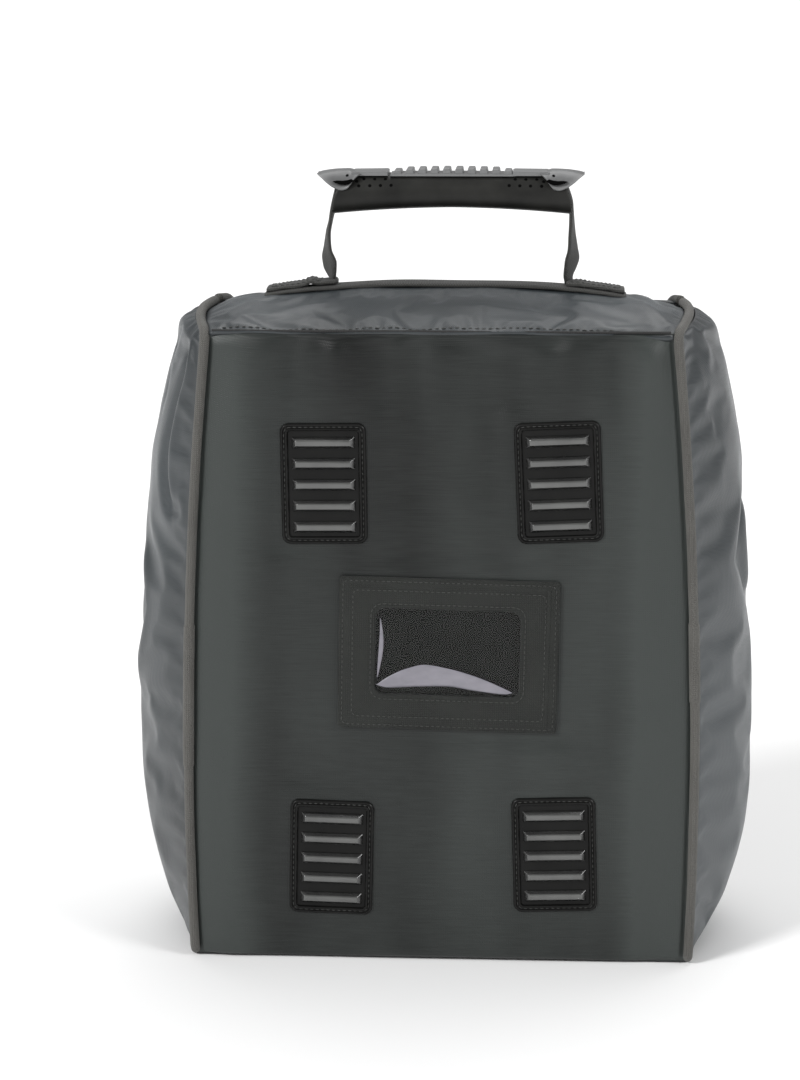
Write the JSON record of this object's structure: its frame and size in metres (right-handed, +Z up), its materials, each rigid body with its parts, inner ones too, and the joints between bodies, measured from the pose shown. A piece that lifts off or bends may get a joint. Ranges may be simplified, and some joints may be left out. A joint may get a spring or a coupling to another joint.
{
  "type": "shoe bag",
  "caption": "Soft padded shoe bag: boxy body with bulged corded sides, zipped rear cover that folds down, moulded carry handle, ribbed pads and a card holder.",
  "frame": {"origin": "middle of the overall box, on the base the bag stands on", "axes": "+Z up, -Y out of the flat face with the pads and card holder, +Y out of the zipped cover, +X to the right as the flat face is looked at"},
  "size_m": [0.306, 0.131, 0.3892],
  "materials": {
    "shell_fabric": "satin nylon with a fine weave",
    "side_fabric": "satin nylon, padded",
    "base_fabric": "coated nylon",
    "lining_fabric": "plain woven lining",
    "foam_board": "closed-cell foam board",
    "cord_piping": "woven bias binding over cord",
    "zip_tape": "woven tape",
    "zip_coil": "nylon coil",
    "dark_metal": "dark satin",
    "webbing": "flat woven webbing",
    "moulded_grip": "satin moulded rubber",
    "moulded_pad": "glossy soft moulding",
    "patch_fabric": "coated fabric",
    "clear_film": "clear flexible film"
  },
  "bodies": {
    "shell": {"front_panel": "shell_fabric", "front_board": "foam_board", "top_panel": "side_fabric", "bottom_panel": "base_fabric", "base_board": "foam_board", "side_panel_left": "side_fabric", "side_panel_right": "side_fabric", "shell_lining": "lining_fabric", "piping_front_left": "cord_piping", "piping_front_right": "cord_piping", "zip_tape_shell": "zip_tape", "zip_coil_shell": "zip_coil", "zip_stop_left": "dark_metal", "zip_stop_right": "dark_metal", "handle_base_strip": "webbing", "handle_tab_left": "webbing", "handle_tab_right": "webbing", "card_backing": "patch_fabric", "card_frame": "patch_fabric", "card_window": "clear_film", "ribbed_pad_upper_left": "moulded_pad", "ribbed_pad_upper_right": "moulded_pad", "ribbed_pad_lower_left": "moulded_pad", "ribbed_pad_lower_right": "moulded_pad"},
    "cover": {"rear_panel": "shell_fabric", "rear_board": "foam_board", "cover_top_gusset": "side_fabric", "cover_side_gusset_left": "side_fabric", "cover_side_gusset_right": "side_fabric", "cover_lining": "lining_fabric", "piping_rear_left": "cord_piping", "piping_rear_right": "cord_piping", "zip_tape_cover": "zip_tape", "zip_coil_cover": "zip_coil"},
    "handle": {"handle_strap": "webbing", "grip": "moulded_grip"},
    "slider_left": {"slider_left": "dark_metal"},
    "slider_right": {"slider_right": "dark_metal"},
    "pull_left": {"pull_left": "dark_metal"},
    "pull_right": {"pull_right": "dark_metal"}
  },
  "joints": [
    {"name": "cover_hinge", "type": "hinge", "parent": "shell", "child": "cover", "pos_m": [0, 0.0635, 0.003], "axis": [-1, 0, 0], "range_deg": [0, 88]},
    {"name": "handle_swing", "type": "hinge", "parent": "shell", "child": "handle", "pos_m": [0, 0, 0.3372], "axis": [1, 0, 0], "range_deg": [-62, 62]},
    {"name": "slider_left_slide", "type": "slide", "parent": "shell", "child": "slider_left", "axis": [-1, 0, 0], "range_m": [0, 0.065]},
    {"name": "slider_right_slide", "type": "slide", "parent": "shell", "child": "slider_right", "axis": [1, 0, 0], "range_m": [0, 0.065]},
    {"name": "pull_left_turn", "type": "hinge", "parent": "slider_left", "child": "pull_left", "pos_m": [-0.011, 0.031, 0.3216], "axis": [0, 1, 0], "range_deg": [0, 120]},
    {"name": "pull_right_turn", "type": "hinge", "parent": "slider_right", "child": "pull_right", "pos_m": [0.011, 0.031, 0.3216], "axis": [0, -1, 0], "range_deg": [0, 120]}
  ]
}
